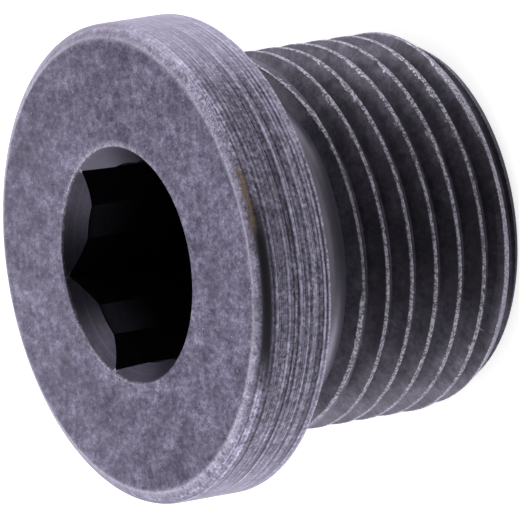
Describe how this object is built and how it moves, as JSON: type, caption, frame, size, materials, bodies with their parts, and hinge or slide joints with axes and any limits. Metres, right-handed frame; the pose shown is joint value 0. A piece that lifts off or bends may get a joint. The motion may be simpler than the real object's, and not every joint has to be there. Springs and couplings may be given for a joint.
{
  "type": "hex socket screw plug",
  "caption": "Screw plug with a flat collar, a hexagon socket in its head and a fine outside thread, for closing a threaded port.",
  "frame": {"origin": "centre of the flat face at the thread's end, the face the plug stands on", "axes": "+Z along the plug's axis from the thread's end to the head, +X through one flat of the hexagon socket"},
  "size_m": [0.025, 0.025, 0.0182],
  "materials": {
    "dark_steel": "matte black oxide"
  },
  "bodies": {
    "root": {"screw_plug": "dark_steel"}
  },
  "joints": []
}
